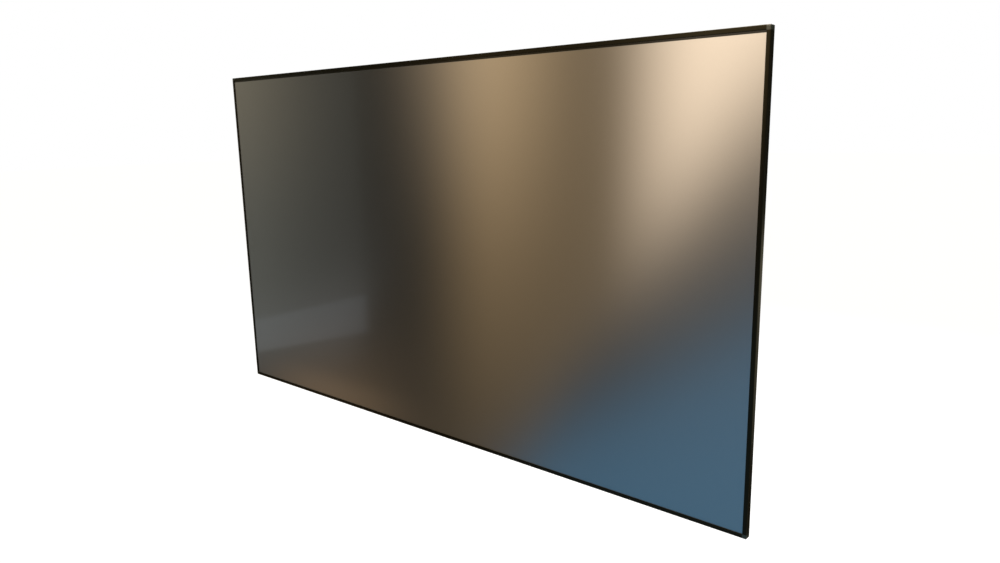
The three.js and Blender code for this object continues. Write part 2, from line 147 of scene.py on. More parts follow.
def on_side(side, x, d, y):
    """World points of the section point (d, y) at the place x along a side."""
    return quarter_turned(side["turn"], x, FRONT_Y + y, side["reach"] - d)


def spring_pitch(side):
    """The distance from one spring to the next: the flap's length over the number of springs."""
    return (side["length"] - 2 * FLAP_CUT) / side["springs"]


def spring_places(side):
    """Places along a side of its springs: an even row about the side's middle."""
    return (np.arange(side["springs"]) - (side["springs"] - 1) / 2) * spring_pitch(side)


def quads(rows, cols, round_cols=False):
    """Corner numbers of the quads of a rows by cols grid of points, numbered row by row. Where
    its columns go round, the last column meets the first."""
    at = np.arange(rows * cols).reshape(rows, cols)
    if round_cols:
        at = np.concatenate([at, at[:, :1]], 1)
    return np.stack([at[:-1, :-1], at[1:, :-1], at[1:, 1:], at[:-1, 1:]], -1).reshape(-1, 4)


class Build:
    """Gathers points and faces of several grids into one mesh."""

    def __init__(self):
        self.points, self.faces, self.count = [], [], 0

    def add(self, points, faces):
        """Adds points, and faces given by the numbers of their corners among these points."""
        self.points.append(np.asarray(points, float).reshape(-1, 3))
        self.faces.extend((np.asarray(f) + self.count).tolist() for f in faces)
        self.count += len(self.points[-1])

    def tube(self, rings):
        """rings is a stack of closed rings of points; the first and last are closed by a face."""
        n, m = rings.shape[:2]
        ends = [np.arange(m), np.arange(m)[::-1] + (n - 1) * m]
        self.add(rings, [*quads(n, m, round_cols=True), *ends])

    def piece(self, name, materials, slot, sharp=SHARP_ANGLE, weld=WELD):
        """One mesh of all that was gathered, with doubles merged and faces pointing outwards."""
        mesh = bpy.data.meshes.new(name)
        mesh.from_pydata(np.concatenate(self.points).tolist(), [], self.faces)
        work = bmesh.new()
        work.from_mesh(mesh)
        bmesh.ops.remove_doubles(work, verts=work.verts, dist=weld)
        bmesh.ops.recalc_face_normals(work, faces=work.faces)
        work.to_mesh(mesh)
        work.free()
        return finished(name, mesh, materials, sharp)


def finished(name, mesh, materials, sharp):
    """A piece that rides on the one body, smooth but for edges sharper than an angle."""
    for material in materials:
        mesh.materials.append(material)
    mesh.shade_smooth()
    mesh.set_sharp_from_angle(angle=math.radians(sharp))
    piece = bpy.data.objects.new(name, mesh)
    bpy.context.scene.collection.objects.link(piece)
    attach(piece, "root")
    return piece


def rounded(corners, steps=8):
    """A closed outline through corners (p, q, radius); each radius becomes an arc of steps."""
    line = []
    for i, (p, q, radius) in enumerate(corners):
        here = np.array([p, q])
        if not radius:
            line.append(here[None])
            continue
        back = np.array(corners[i - 1][:2]) - here
        on = np.array(corners[(i + 1) % len(corners)][:2]) - here
        back, on = back / np.linalg.norm(back), on / np.linalg.norm(on)
        half = math.acos(np.clip(back @ on, -1, 1)) / 2
        centre = here + (back + on) / np.linalg.norm(back + on) * radius / math.sin(half)
        start = here + back * radius / math.tan(half) - centre
        turn = np.sign(back[0] * on[1] - back[1] * on[0]) * (math.pi - 2 * half)
        angle = -turn * np.linspace(0, 1, steps + 1)
        c, s = np.cos(angle), np.sin(angle)
        line.append(centre + np.stack([start[0] * c - start[1] * s, start[0] * s + start[1] * c], -1))
    return np.concatenate(line)


# A direction that no wire starts along
ASLANT = (1.0, 0.3, 0.2)


def swept(path, radius, sides):
    """Rings of a round wire along a path. Each ring's frame is the one before it, turned by
    the least amount that follows the path, so the wire doesn't twist."""
    along = np.gradient(path, axis=0)
    along /= np.linalg.norm(along, axis=1)[:, None]
    up = np.cross(along[0], ASLANT)
    ups = []
    for t in along:
        up = up - t * (up @ t)
        up = up / np.linalg.norm(up)
        ups.append(up)
    ups = np.array(ups)
    across = np.cross(along, ups)
    angle = np.arange(sides) / sides * 2 * math.pi
    return (path[:, None] + radius * (np.cos(angle)[None, :, None] * ups[:, None]
                                      + np.sin(angle)[None, :, None] * across[:, None]))


# Finishes

def group(name, inputs, outputs):
    """An empty shader group with named float inputs and named outputs of a given type."""
    tree = bpy.data.node_groups.new(name, "ShaderNodeTree")
    for label, value in inputs.items():
        socket = tree.interface.new_socket(label, in_out="INPUT", socket_type="NodeSocketFloat")
        socket.default_value = value
    for label, kind in outputs.items():
        tree.interface.new_socket(label, in_out="OUTPUT", socket_type=kind)
    return tree, tree.nodes.new("NodeGroupInput"), tree.nodes.new("NodeGroupOutput")


def node(tree, kind, links=None, **settings):
    """A node with its settings, its inputs set to values or linked from other sockets."""
    made = tree.nodes.new(kind)
    for key, value in settings.items():
        setattr(made, key, value)
    for key, value in (links or {}).items():
        if isinstance(value, bpy.types.NodeSocket):
            tree.links.new(value, made.inputs[key])
        else:
            made.inputs[key].default_value = value
    return made


def worked(tree, operation, *values):
    """The result of a math node on values or sockets."""
    return node(tree, "ShaderNodeMath", dict(enumerate(values)), operation=operation).outputs[0]


NOISE_DETAIL = 2.0
BROAD_SHARE = 0.08


def grain_group():
    """Grain: two sizes of noise, stretched along an axis, put out as a mask about one half. The
    broad noise has BROAD_SHARE of the fine one's scale."""
    tree, given, out = group(
        "grain",
        {"Across X": 1.0, "Across Y": 1.0, "Across Z": 1.0, "Size": 1.0, "Coarse": 0.3},
        {"Mask": "NodeSocketFloat"},
    )
    place = node(tree, "ShaderNodeTexCoord")
    stretch = node(tree, "ShaderNodeCombineXYZ", {
        0: given.outputs["Across X"], 1: given.outputs["Across Y"], 2: given.outputs["Across Z"]})
    scaled = node(tree, "ShaderNodeVectorMath", {0: place.outputs["Object"], 1: stretch.outputs[0]},
                  operation="MULTIPLY")
    fine = node(tree, "ShaderNodeTexNoise", {
        "Vector": scaled.outputs[0], "Scale": given.outputs["Size"], "Detail": NOISE_DETAIL})
    broad_size = worked(tree, "MULTIPLY", given.outputs["Size"], BROAD_SHARE)
    broad = node(tree, "ShaderNodeTexNoise", {
        "Vector": scaled.outputs[0], "Scale": broad_size, "Detail": NOISE_DETAIL})
    mixed = node(tree, "ShaderNodeMix", {0: given.outputs["Coarse"], 2: fine.outputs["Fac"],
                                         3: broad.outputs["Fac"]}, data_type="FLOAT")
    tree.links.new(mixed.outputs[0], out.inputs["Mask"])
    return tree


def spread_group():
    """Spread: a mask about one half turned into a value, from a middle and a swing."""
    tree, given, out = group("spread", {"Mask": 0.5, "Middle": 0.5, "Swing": 0.1},
                             {"Value": "NodeSocketFloat"})
    centred = worked(tree, "SUBTRACT", given.outputs["Mask"], 0.5)
    swung = worked(tree, "MULTIPLY_ADD", centred, given.outputs["Swing"], given.outputs["Middle"])
    tree.links.new(swung, out.inputs["Value"])
    return tree


def tint_group():
    """Tint: a colour made a little lighter or darker by a mask about one half."""
    inputs = {"Mask": 0.5, "Swing": 0.1, "Red": 0.5, "Green": 0.5, "Blue": 0.5}
    tree, given, out = group("tint", inputs, {"Color": "NodeSocketColor"})
    colour = node(tree, "ShaderNodeCombineXYZ", {0: given.outputs["Red"], 1: given.outputs["Green"],
                                                 2: given.outputs["Blue"]})
    centred = worked(tree, "SUBTRACT", given.outputs["Mask"], 0.5)
    factor = worked(tree, "MULTIPLY_ADD", centred, given.outputs["Swing"], 1.0)
    scaled = node(tree, "ShaderNodeVectorMath", {0: colour.outputs[0], "Scale": factor},
                  operation="SCALE")
    tree.links.new(scaled.outputs[0], out.inputs["Color"])
    return tree


GRAIN = grain_group()
SPREAD = spread_group()
TINT = tint_group()


def use(tree, shared, **values):
    """Places a shared group, with its inputs set or linked, and gives its one output."""
    links = {label.replace("_", " "): value for label, value in values.items()}
    return node(tree, "ShaderNodeGroup", links, node_tree=shared).outputs[0]


# How deep the relief of a finish is where its bump is one
RELIEF = 0.1 * MM


def finish_material(name, colour, metallic, roughness, size, stretch=(1, 1, 1), tint=0.2,
                    rough_swing=0.2, bump=0.05, coarse=0.3, **sockets):
    """A finish whose colour, roughness and relief follow one grain. size is the grain's scale,
    stretch its scale along each axis, and sockets are the shader's own."""
    material = bpy.data.materials.new(name)
    material.use_nodes = True
    tree = material.node_tree
    shader = tree.nodes["Principled BSDF"]
    mask = use(tree, GRAIN, Across_X=stretch[0], Across_Y=stretch[1], Across_Z=stretch[2],
               Size=size, Coarse=coarse)
    red, green, blue = colour
    tinted = use(tree, TINT, Mask=mask, Swing=tint, Red=red, Green=green, Blue=blue)
    tree.links.new(tinted, shader.inputs["Base Color"])
    rough = use(tree, SPREAD, Mask=mask, Middle=roughness, Swing=rough_swing)
    tree.links.new(rough, shader.inputs["Roughness"])
    relief = node(tree, "ShaderNodeBump", {"Strength": bump, "Distance": RELIEF, "Height": mask})
    tree.links.new(relief.outputs[0], shader.inputs["Normal"])
    shader.inputs["Metallic"].default_value = metallic
    for label, value in sockets.items():
        shader.inputs[label.replace("_", " ")].default_value = value
    return material


# Painted shadow of the top lip on the sheet: its height, where it starts, its soft edge and its dark
# colour
LIP_SHADOW_W = 5.5 * MM
LIP_SHADOW_FROM = OUTER_H / 2 - LIP_W - LIP_SHADOW_W
LIP_SHADOW_SOFT = 0.4 * MM
LIP_SHADOW_COLOUR = (0.012, 0.01, 0.004, 1)


def painted_lip_shadow(material, metallic, coat):
    """Painted shadow of the top lip: a dark strip along the sheet's top edge, just under the lip, in
    place of its coated metallic face.
    """
    tree = material.node_tree
    shader = tree.nodes["Principled BSDF"]
    place = node(tree, "ShaderNodeTexCoord")
    axes = node(tree, "ShaderNodeSeparateXYZ", {0: place.outputs["Object"]})
    mask = node(tree, "ShaderNodeMapRange", {
        0: axes.outputs[2], 1: LIP_SHADOW_FROM - LIP_SHADOW_SOFT, 2: LIP_SHADOW_FROM + LIP_SHADOW_SOFT},
        interpolation_type="SMOOTHSTEP")
    face = shader.inputs["Base Color"].links[0].from_socket
    colour = node(tree, "ShaderNodeMix", {0: mask.outputs[0], 6: face, 7: LIP_SHADOW_COLOUR},
                  data_type="RGBA")
    tree.links.new(colour.outputs[2], shader.inputs["Base Color"])
    for label, value in (("Metallic", metallic), ("Coat Weight", coat)):
        fade = node(tree, "ShaderNodeMapRange", {0: mask.outputs[0], 3: value, 4: 0.0})
        tree.links.new(fade.outputs[0], shader.inputs[label])


# The scale of a die line's grain along its bar, as a share of that across it
LONG = 0.004

FACE_METALLIC = 0.95
FACE_COAT = 1.0
optical_face = finish_material("optical_face", (0.43, 0.42, 0.40), FACE_METALLIC, 0.29, 1400,
                               tint=0.16, rough_swing=0.05, bump=0.04, coarse=0.15, Anisotropic=0.8,
                               Anisotropic_Rotation=0.25, Coat_Roughness=0.06, Specular_IOR_Level=0.3)
# Darkens the sheet's top strip under the lip: a painted shadow
painted_lip_shadow(optical_face, FACE_METALLIC, FACE_COAT)
sheet_backing = finish_material("sheet_backing", (0.05, 0.05, 0.052), 0.0, 0.75, 900, tint=0.5,
                                rough_swing=0.2, bump=0.2)
TRIM_LOOK = dict(colour=(0.008, 0.007, 0.004), metallic=0.3, roughness=0.3, size=2500, tint=0.5,
                 rough_swing=0.25, bump=0.03, Specular_IOR_Level=0.2, Specular_Tint=(1.0, 0.88, 0.5, 1))
trim_across = finish_material("trim_anodised_across", stretch=(LONG, 1, 1), **TRIM_LOOK)
trim_upright = finish_material("trim_anodised_upright", stretch=(1, 1, LONG), **TRIM_LOOK)
cap_plastic = finish_material("cap_plastic", (0.024, 0.028, 0.014), 0.0, 0.33, 1800, tint=0.3,
                              rough_swing=0.15, bump=0.06, Specular_IOR_Level=0.6)
rail_across = finish_material("rail_anodised_across", (0.022, 0.022, 0.024), 0.7, 0.42, 1800,
                              (LONG, 1, 1), tint=0.7, rough_swing=0.3, bump=0.05)
rail_upright = finish_material("rail_anodised_upright", (0.022, 0.022, 0.024), 0.7, 0.42, 1800,
                               (1, 1, LONG), tint=0.7, rough_swing=0.3, bump=0.05)
cast_alloy = finish_material("cast_alloy", (0.52, 0.52, 0.53), 1.0, 0.5, 600, tint=0.2,
                             rough_swing=0.3, bump=0.15)
zinc_plate = finish_material("zinc_plate", (0.56, 0.57, 0.58), 1.0, 0.33, 220, tint=0.25,
                             rough_swing=0.35, bump=0.03, coarse=0.5)
spring_wire = finish_material("spring_wire", (0.5, 0.51, 0.52), 1.0, 0.28, 900, tint=0.2,
                              rough_swing=0.2, bump=0.03)
screw_zinc = finish_material("screw_zinc", (0.5, 0.5, 0.5), 1.0, 0.3, 1200, tint=0.3,
                             rough_swing=0.25, bump=0.04)
powder_coat = finish_material("powder_coat", (0.024, 0.024, 0.025), 0.0, 0.5, 1500, tint=0.3,
                              rough_swing=0.2, bump=0.25)


# Bezel

TRIM_SECTION = rounded([
    (0, 0, EDGE_R),
    (LIP_W - LIP_BEVEL, 0, BEVEL_R),
    (LIP_W, LIP_BEVEL, BEVEL_R),
    (LIP_W, LIP_T, BREAK_R),
    (SKIRT_T, LIP_T, INSIDE_R),
    (SKIRT_T, SKIRT_D - TOE_T, 0),
    (TOE_IN, SKIRT_D - TOE_T, BREAK_R),
    (TOE_IN, SKIRT_D, BREAK_R),
    (BACK_EDGE, SKIRT_D, 0),
    (0, SKIRT_D - BACK_EDGE, 0),
])
TRIM_RINGS = 25
ARM_RINGS = 4
ARC_STEPS = 8


def trim_bar(name, side):
    """A straight length of the trim's section between two corner caps."""
    half = side["length"] / 2 - LIP_W - MITRE_GAP
    x = np.linspace(-half, half, TRIM_RINGS)[:, None]
    build = Build()
    build.tube(on_side(side, x, TRIM_SECTION[:, 0], TRIM_SECTION[:, 1]))
    upright = side["turn"] % 2
    made = build.piece(f"bezel_{name}", [trim_upright if upright else trim_across], "trim_black")
    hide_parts(f"trim_{name}")


def corner_line(d):
    """The line at the distance d inside a corner rounded by CORNER_R, in the corner's frame:
    straight in, an arc of radius CORNER_R - d, or its mitre point where d is larger, and out."""
    d = d[None, :]
    bend = np.maximum(CORNER_R, d)
    share = np.linspace(0, 1, ARM_RINGS)[:, None]
    start = -LIP_W + share * (LIP_W - bend)
    arm_in = np.stack([start, np.broadcast_to(-d, start.shape)], -1)
    angle = np.linspace(QUARTER, 0, ARC_STEPS + 1)[1:-1, None]
    radius = np.maximum(CORNER_R - d, 0)
    arc = np.stack([-bend + radius * np.cos(angle), -bend + radius * np.sin(angle)], -1)
    arm_out = arm_in[::-1, :, ::-1]
    return np.concatenate([arm_in, arc, arm_out])


# Each corner: its quarter turns from the top right, and its reach along its own x and z
CORNERS = {
    "top_right": (0, OUTER_W / 2, OUTER_H / 2),
    "bottom_right": (1, OUTER_H / 2, OUTER_W / 2),
    "bottom_left": (2, OUTER_W / 2, OUTER_H / 2),
    "top_left": (3, OUTER_H / 2, OUTER_W / 2),
}


def box_points(x, y, z):
    """The eight corners of a box between two values on each axis."""
    return np.array([(a, b, c) for a in x for b in y for c in z])


BOX_FACES = [(0, 1, 3, 2), (4, 6, 7, 5), (0, 4, 5, 1), (2, 3, 7, 6), (0, 2, 6, 4), (1, 5, 7, 3)]


def corner_cap(name, turn, reach_x, reach_z):
    """The trim's section carried round the corner, with a tongue behind each skirt: a long
    blade, and a foot that joins it to the cap."""
    build = Build()
    line = corner_line(TRIM_SECTION[:, 0])

    def placed(x, y, z):
        return quarter_turned(turn, reach_x + x, FRONT_Y + y, reach_z + z)

    build.tube(placed(line[..., 0], TRIM_SECTION[:, 1], line[..., 1]))
    out = -SKIRT_T - TONGUE["gap"]
    inner = out - TONGUE["thick"]
    y = (TONGUE["depth"], TONGUE["depth"] + TONGUE["wide"])
    root = -LIP_W + TONGUE["wide"] / 2
    blade = ((-LIP_W - TONGUE["long"], root), (inner, out))
    foot = ((-LIP_W, root), (out, -SKIRT_T))
    for ends, depth in (blade, foot):
        p = box_points(ends, y, depth)
        build.add(placed(p[:, 0], p[:, 1], p[:, 2]), BOX_FACES)
        build.add(placed(p[:, 2], p[:, 1], p[:, 0]), BOX_FACES)
    made = build.piece(f"corner_cap_{name}", [cap_plastic], "corner_plastic")
    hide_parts(f"trim_corner_{name}")


# Sheet

ROUND_TO = 7


def spaced(breaks, gap):
    """Lines at every break, with even ones between them no further apart than a gap. Breaks
    that agree to ROUND_TO decimals are one."""
    breaks = np.unique(np.round(breaks, ROUND_TO))
    parts = [np.linspace(a, b, max(1, math.ceil((b - a) / gap)) + 1)[:-1]
             for a, b in zip(breaks[:-1], breaks[1:])]
    return np.concatenate([*parts, breaks[-1:]])


SHEET_Y = LIP_T + FIT + SHEET_T / 2
SHEET_OUT = SKIRT_T + FIT + SHEET_T / 2
FRONT_EDGE = SHEET_OUT + NOSE_BEND
BACK_Y = WING_BACK + FIT + SHEET_T / 2
HEM_R = ROD_R + FIT + SHEET_T / 2
HEM_TURN = math.radians(318)
NOTCH_D = 8.1 * MM
NOSE_POINTS = 9
HEEL_POINTS = 8
HEM_POINTS = 20


def flap_line():
    """The flap's section from the front's edge: round the nose, down the side, round the heel,
    along the back and round the rod, which leaves the hem just clear of the flap."""
    nose = np.linspace(0, QUARTER, NOSE_POINTS)
    heel = np.linspace(0, QUARTER, HEEL_POINTS)
    hem = np.linspace(0, HEM_TURN, HEM_POINTS)[1:]
    heel_at = (SHEET_OUT + HEEL_BEND, BACK_Y - HEEL_BEND)
    return np.concatenate([
        np.stack([FRONT_EDGE - NOSE_BEND * np.sin(nose),
                  SHEET_Y + NOSE_BEND * (1 - np.cos(nose))], -1),
        np.stack([heel_at[0] - HEEL_BEND * np.cos(heel), heel_at[1] + HEEL_BEND * np.sin(heel)], -1),
        [(NOTCH_D, BACK_Y), (ROD_AT[0], BACK_Y)],
        np.stack([ROD_AT[0] + HEM_R * np.sin(hem), ROD_AT[1] - HEM_R * np.cos(hem)], -1),
    ])


# The point of the flap's line where the notches begin
NOTCH_AT = NOSE_POINTS + HEEL_POINTS

FLAP = flap_line()
FLAP_LENGTH = np.linalg.norm(np.diff(FLAP, axis=0), axis=1).sum()
HEM_LENGTH = FLAP_LENGTH - np.linalg.norm(np.diff(FLAP[:NOTCH_AT + 1], axis=0), axis=1).sum()

WAVE_DEPTH = 0.05 * MM
WAVE_REACH = 0.11
HOLD_REACH = 0.03
EDGE_LINE = 1.5 * MM
GRID_GAP = 0.025
NEAR = 1e-6


def tension_waves(x, z):
    """Depth of the front's faint waves: near each edge a cosine of the springs' pitch, which
    dies away inwards, times a factor that is nothing at every edge and one away from them."""
    waves, held = 0, 1
    for side in SIDES.values():
        along, reach = (z, x) if side["turn"] % 2 else (x, z)
        sign = 1 if side["turn"] < 2 else -1
        inward = side["reach"] - FRONT_EDGE - sign * reach
        waves = waves + np.cos(2 * math.pi * along / spring_pitch(side)) * np.exp(-inward / WAVE_REACH)
        held = held * (1 - np.exp(-inward / HOLD_REACH))
    return WAVE_DEPTH * waves * held


def sheet_lines(side):
    """Places of the grid's lines along a side: both edges of every notch, the flap's ends, the
    front's edges and a line just inside each of these."""
    notches = spring_places(side)
    ends = side["length"] / 2 - FLAP_CUT
    edge = side["length"] / 2 - FRONT_EDGE
    edges = [-ends, ends, -edge, EDGE_LINE - edge, edge - EDGE_LINE, edge]
    return spaced(np.concatenate([notches - NOTCH_W / 2, notches + NOTCH_W / 2, edges]), GRID_GAP)


def add_flap(build, side, lines):
    """A side's flap: its section carried along the side, less the hem at every notch."""
    lines = lines[np.abs(lines) <= side["length"] / 2 - FLAP_CUT + NEAR]
    points = on_side(side, lines[:, None], FLAP[:, 0], FLAP[:, 1])
    faces = quads(len(lines), len(FLAP)).reshape(len(lines) - 1, len(FLAP) - 1, 4)
    middles = (lines[:-1] + lines[1:]) / 2
    notched = (np.abs(middles[:, None] - spring_places(side)) < NOTCH_W / 2).any(1)
    kept = np.ones(faces.shape[:2], bool)
    kept[notched, NOTCH_AT:] = False
    build.add(points, faces[kept])


def sheet_piece():
    """The front is a grid over its own plane, and the flaps share the grid's lines, so that they
    join it point to point. The flat size is the front and a flap on each side, and the flaps are
    cut back at the corners and notched at the springs."""
    build = Build()
    cuts = {name: sheet_lines(side) for name, side in SIDES.items()}
    x, z = cuts["top"], cuts["right"]
    grid_x, grid_z = np.meshgrid(x, z)
    front = np.stack([grid_x, FRONT_Y + SHEET_Y + tension_waves(grid_x, grid_z), grid_z], -1)
    build.add(front, quads(len(z), len(x)))
    for name, side in SIDES.items():
        add_flap(build, side, cuts[name])
    made = build.piece("picture_sheet", [optical_face, sheet_backing], "optical_sheet",
                       sharp=SHARP_ON_THIN)
    turn_outwards(made)
    thick = made.modifiers.new("thickness", "SOLIDIFY")
    thick.thickness = SHEET_T
    thick.offset = 0
    thick.material_offset = 1
    thick.material_offset_rim = 1
    flat_w = OUTER_W - 2 * FRONT_EDGE
    flat_h = OUTER_H - 2 * FRONT_EDGE
    area = flat_w * flat_h
    for side in SIDES.values():
        area += (side["length"] - 2 * FLAP_CUT) * FLAP_LENGTH - side["springs"] * NOTCH_W * HEM_LENGTH
    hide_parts("screen_sheet")


def turn_outwards(piece):
    """Turns an open sheet so that its front faces the viewer, -Y."""
    mesh = piece.data
    middle = min(mesh.polygons, key=lambda face: face.center.xz.length)
    if middle.normal.y > 0:
        mesh.flip_normals()


# Rods and springs

# The loop round the rod, by angles in degrees, and the steps of the coil's turns and of the hook
GRIP_FROM = 305
GRIP_TO = 75
GRIP_POINTS = 12
TURN_STEPS = 14
HOOK_STEPS = 4
WIRE_SIDES = 6
ROD_END = 0.4 * MM
ROD_RINGS = 13
ROD_SIDES = 16


def spring_path():
    """The wire of one spring, as points (x, d, y): a loop round the rod, a helix whose radius
    grows from and shrinks to nothing at its ends, and a hook, which climbs out of the coil, runs
    over the rib's back and bends down past the flange."""
    grip = np.radians(np.linspace(GRIP_FROM, GRIP_TO, GRIP_POINTS))
    loop = np.stack([0 * grip, ROD_AT[0] + (ROD_R + WIRE_R) * np.cos(grip),
                     ROD_AT[1] + (ROD_R + WIRE_R) * np.sin(grip)], -1)
    share = np.linspace(0, 1, COIL_TURNS * TURN_STEPS + 1)
    turn = share * COIL_TURNS * 2 * math.pi
    ramp = np.clip(np.minimum(share, 1 - share) * COIL_TURNS * 2, 0, 1)
    radius = COIL_R * np.sin(ramp * QUARTER)
    helix = np.stack([radius * np.sin(turn), COIL_FROM + share * (COIL_TO - COIL_FROM),
                      COIL_Y - radius * np.cos(turn)], -1)
    over = RIB_BACK + FIT + WIRE_R
    past = FLANGE_IN + FIT + WIRE_R
    hook = np.array([
        (0, COIL_TO + 2.6 * MM, COIL_Y + 1.3 * MM),
        (0, 36.2 * MM, over),
        (0, FLANGE_IN - 0.4 * MM, over),
        (0, past - 0.1 * MM, over - 0.3 * MM),
        (0, past, RIB_BACK - 0.75 * MM),
        (0, past - WIRE_R, RIB_BACK - 2.5 * MM),
    ])
    return np.concatenate([loop, helix, curved(hook, HOOK_STEPS)])


def curved(points, steps):
    """A smooth line through points. Each stretch is a cubic, whose direction at a point is that
    from the point before to the point after."""
    p = np.concatenate([2 * points[:1] - points[1:2], points, 2 * points[-1:] - points[-2:-1]])
    t = (np.arange(steps) / steps)[None, :, None]
    a, b, c, d = (p[i:len(p) - 3 + i, None] for i in range(4))
    line = 0.5 * (2 * b + (c - a) * t + (2 * a - 5 * b + 4 * c - d) * t**2
                  + (3 * b - 3 * c + d - a) * t**3)
    return np.concatenate([line.reshape(-1, 3), points[-1:]])


SPRING_RINGS = swept(spring_path(), WIRE_R, WIRE_SIDES)


def tension_rod(name, side):
    """A round rod with turned ends, and its springs."""
    build = Build()
    half = side["length"] / 2 - FLAP_CUT - ROD_SHORT
    x = np.concatenate([[-half, -half + ROD_END], np.linspace(-half, half, ROD_RINGS)[1:-1],
                        [half - ROD_END, half]])
    radius = np.full(len(x), ROD_R)
    radius[[0, -1]] = ROD_R - ROD_END
    angle = np.arange(ROD_SIDES) / ROD_SIDES * 2 * math.pi
    build.tube(on_side(side, x[:, None], ROD_AT[0] + radius[:, None] * np.cos(angle),
                       ROD_AT[1] + radius[:, None] * np.sin(angle)))
    across, inward, depth = np.moveaxis(SPRING_RINGS, -1, 0)
    for place in spring_places(side):
        build.tube(on_side(side, place + across, inward, depth))
    made = build.piece(f"rod_and_springs_{name}", [spring_wire], "spring_steel",
                       sharp=SHARP_ON_THIN, weld=FINE_WELD)
    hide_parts(f"tension_rod_{name}")


# Screws

HEAD_R = 3.4 * MM
HEAD_H = 2 * MM
RECESS_R = 2 * MM
RECESS_W = 0.42 * MM
RECESS_WALL = 0.16 * MM
RECESS_DEEP = 1.2 * MM
HEAD_SIDES = 48
HEAD_RINGS = 13

# The head's outline, as shares of its radius and height: the edge of its flat top, and the points
# of its round shoulder and straight skirt
HEAD_TOP = 0.76
HEAD_SHOULDER = np.array([(0.85, 0.97), (0.93, 0.88), (0.98, 0.75), (1, 0.6), (1, 0)])


def screw_head(build, side, along, d, seat):
    """A pan head with a cross recess, turned about its axis: the height over the radius is a
    flat top, a round shoulder and a straight skirt. The recess sinks to full depth within its
    arms' width and rises to nothing over its walls and towards its ends."""
    top = np.linspace(0, HEAD_TOP, HEAD_RINGS)
    radii = np.concatenate([top, HEAD_SHOULDER[:, 0]]) * HEAD_R
    heights = np.concatenate([np.ones(len(top)), HEAD_SHOULDER[:, 1]]) * HEAD_H
    angle = np.arange(HEAD_SIDES) / HEAD_SIDES * 2 * math.pi
    px = radii[:, None] * np.cos(angle)
    pz = radii[:, None] * np.sin(angle)
    off_arm = np.minimum(np.abs(px), np.abs(pz))
    in_arm = np.clip((RECESS_W - off_arm) / RECESS_WALL + 1, 0, 1)
    in_reach = np.sqrt(np.clip(1 - radii[:, None] / RECESS_R, 0, 1))
    height = heights[:, None] - RECESS_DEEP * in_arm * in_reach
    build.tube(on_side(side, along + px, d + pz, seat + height))


def screws(name, spots):
    """Screw heads at spots, each given by a side, a place along it, d and the depth of its seat."""
    build = Build()
    for spot in spots:
        screw_head(build, *spot)
    build.piece(name, [screw_zinc], "zinc_steel")


def joint_spots(side, places):
    """A row of screws over the wing chamber's plate and one over the box chamber's bar."""
    return ([(side, x, PLATE_MID, WING_BACK) for x in places]
            + [(side, x, BOX_MID, BOX_BACK) for x in places])


CORNER_SCREWS = (75 * MM, 130 * MM)
SPLICE_SCREWS = (35 * MM, 80 * MM)
SHOE_BACK = 23.3 * MM
SHOE_SCREWS = (10 * MM, 24 * MM)


def all_screws():
    """The screws of the corners, of the splices in the long sides and of the upright bar's shoes."""
    for name, side in SIDES.items():
        ends = [side["length"] / 2 - s for s in CORNER_SCREWS]
        screws(f"corner_screws_{name}", joint_spots(side, [*ends, *(-e for e in ends)]))
    for name in ("top", "bottom"):
        side = SIDES[name]
        ends = [*SPLICE_SCREWS, *(-s for s in SPLICE_SCREWS)]
        screws(f"splice_screws_{name}", joint_spots(side, ends))
        screws(f"shoe_screws_{name}", [(side, 0, RAIL_IN + s, SHOE_BACK) for s in SHOE_SCREWS])


# Finishes of the nodes that stay as they are, by the first of these that starts a node's name

NODE_FINISH = {
    "rail_left": rail_upright,
    "rail_right": rail_upright,
    "rail_": rail_across,
    "upright_bar": rail_upright,
    "corner_elbow_": cast_alloy,
    "splice_bar_": cast_alloy,
    "corner_plate_": zinc_plate,
    "splice_plate_": zinc_plate,
    "bar_shoe_": zinc_plate,
    "wall_bracket_": powder_coat,
}


def dress_nodes():
    """Gives each node that stays its finish. A replaced node has none here."""
    for name, obj in frame["nodes"].items():
        finish = next((m for start, m in NODE_FINISH.items() if name.startswith(start)), None)
        if finish:
            obj.data.materials.clear()
            obj.data.materials.append(finish)


# Camera, from the corners of the frame in the photograph: its lens in pixels of the picture, its
# place, its direction and its roll

LENS_PX = 762.7
PICTURE_PX = 1000
SENSOR_MM = 36
CAMERA_AT = Vector((1.8052, -1.7792, 0.4188))
CAMERA_AHEAD = Vector((-0.63512, 0.74643, -0.19863))
CAMERA_ROLL = math.radians(-1.09)


def camera():
    """The photograph's camera, levelled on its direction and then rolled about it."""
    data = bpy.data.cameras.new("camera")
    data.sensor_width = SENSOR_MM
    data.lens = LENS_PX * SENSOR_MM / PICTURE_PX
    made = bpy.data.objects.new("camera", data)
    made.location = CAMERA_AT
    made.rotation_mode = "QUATERNION"
    level = CAMERA_AHEAD.to_track_quat("-Z", "Y")
    made.rotation_quaternion = level @ Quaternion((0, 0, 1), CAMERA_ROLL)
    bpy.context.scene.collection.objects.link(made)
    bpy.context.scene.camera = made


# Stage and lights

HUNG_AT = 0.6
FLOOR_Z = cad_low.z - HUNG_AT
FLOOR_HALF = 40
FLOOR_COLOUR = (0.86, 0.86, 0.86, 1)
FLOOR_LIFT = 0.37
SKY_COLOUR = (1, 0.985, 0.96, 1)
SKY_LIGHT = 0.75


def staged(name, points, faces, material):
    """A mesh of the stage, which isn't part of the screen."""
    mesh = bpy.data.meshes.new(name)
    mesh.from_pydata(points, [], faces)
    mesh.materials.append(material)
    made = bpy.data.objects.new(name, mesh)
    bpy.context.scene.collection.objects.link(made)
    return made


def seen_share(tree):
    """One for rays that see the background: from the camera, off gloss and through glass."""
    seen = node(tree, "ShaderNodeLightPath").outputs
    either = worked(tree, "MAXIMUM", seen["Is Camera Ray"], seen["Is Glossy Ray"])
    return worked(tree, "MAXIMUM", either, seen["Is Transmission Ray"])


